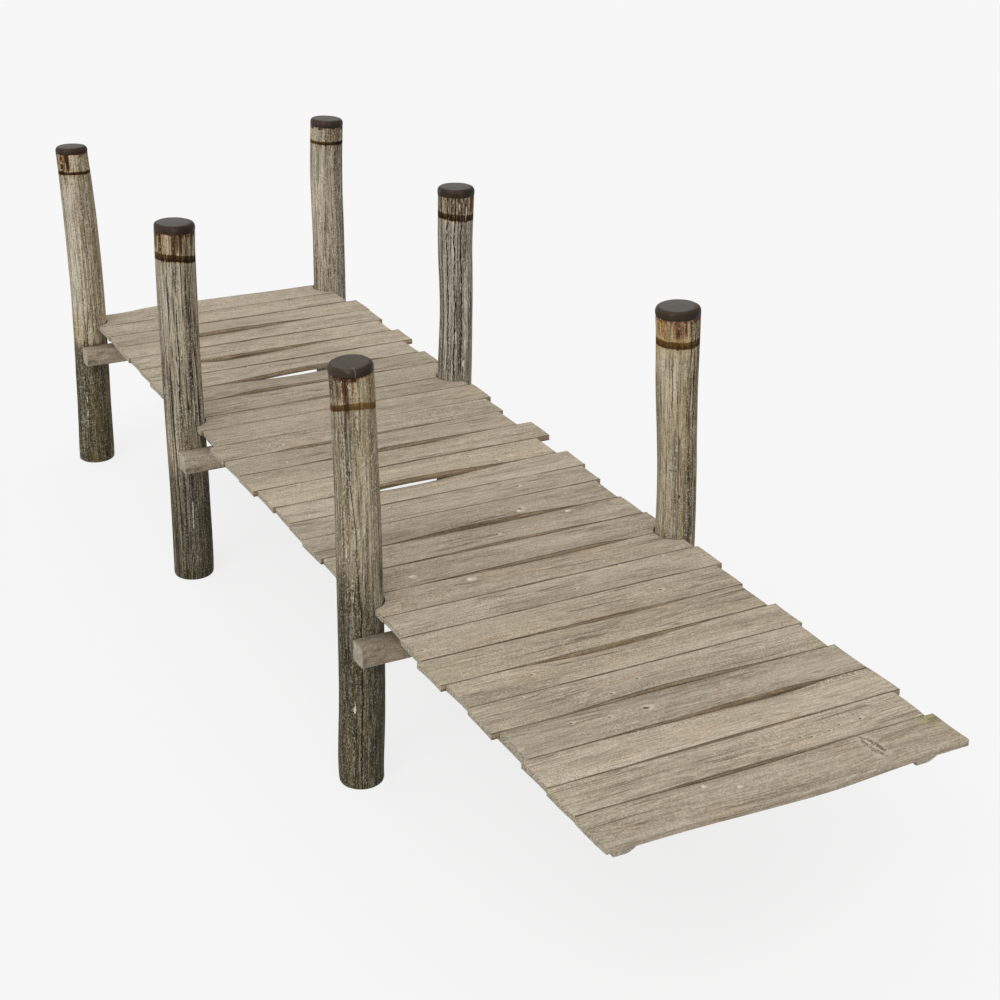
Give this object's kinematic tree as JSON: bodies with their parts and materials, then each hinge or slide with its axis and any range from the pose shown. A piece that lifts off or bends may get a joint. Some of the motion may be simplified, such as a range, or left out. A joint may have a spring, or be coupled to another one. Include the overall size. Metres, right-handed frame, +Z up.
{
  "type": "timber jetty",
  "caption": "Narrow plank jetty on log posts with dark caps, cross beams and two stringers, overhanging at its near end.",
  "frame": {"origin": "on the ground, in the middle of the jetty's plan", "axes": "+Y along the jetty from the overhanging near end to the far end, +X across the deck to the right, +Z up"},
  "size_m": [1.8799, 6.5313, 2.0322],
  "materials": {
    "post_wood": "weathered log, pale above the deck and dark with algae below",
    "plank_wood": "bleached rough-sawn board",
    "beam_wood": "weathered rough-sawn timber",
    "cap": "dull dark brown"
  },
  "bodies": {
    "root": {"cap_far_left": "cap", "cap_far_right": "cap", "cap_middle_left": "cap", "cap_middle_right": "cap", "cap_near_left": "cap", "cap_near_right": "cap", "cross_beam_far": "beam_wood", "cross_beam_middle": "beam_wood", "cross_beam_near": "beam_wood", "plank_01": "plank_wood", "plank_02": "plank_wood", "plank_03": "plank_wood", "plank_04": "plank_wood", "plank_05": "plank_wood", "plank_06": "plank_wood", "plank_07": "plank_wood", "plank_08": "plank_wood", "plank_09": "plank_wood", "plank_10": "plank_wood", "plank_11": "plank_wood", "plank_12": "plank_wood", "plank_13": "plank_wood", "plank_14": "plank_wood", "plank_15": "plank_wood", "plank_16": "plank_wood", "plank_17": "plank_wood", "plank_18": "plank_wood", "plank_19": "plank_wood", "plank_20": "plank_wood", "plank_21": "plank_wood", "plank_22": "plank_wood", "plank_23": "plank_wood", "plank_24": "plank_wood", "plank_25": "plank_wood", "plank_26": "plank_wood", "plank_27": "plank_wood", "plank_28": "plank_wood", "plank_29": "plank_wood", "plank_30": "plank_wood", "post_far_left": "post_wood", "post_far_right": "post_wood", "post_middle_left": "post_wood", "post_middle_right": "post_wood", "post_near_left": "post_wood", "post_near_right": "post_wood", "stringer_left": "beam_wood", "stringer_right": "beam_wood"}
  },
  "joints": []
}
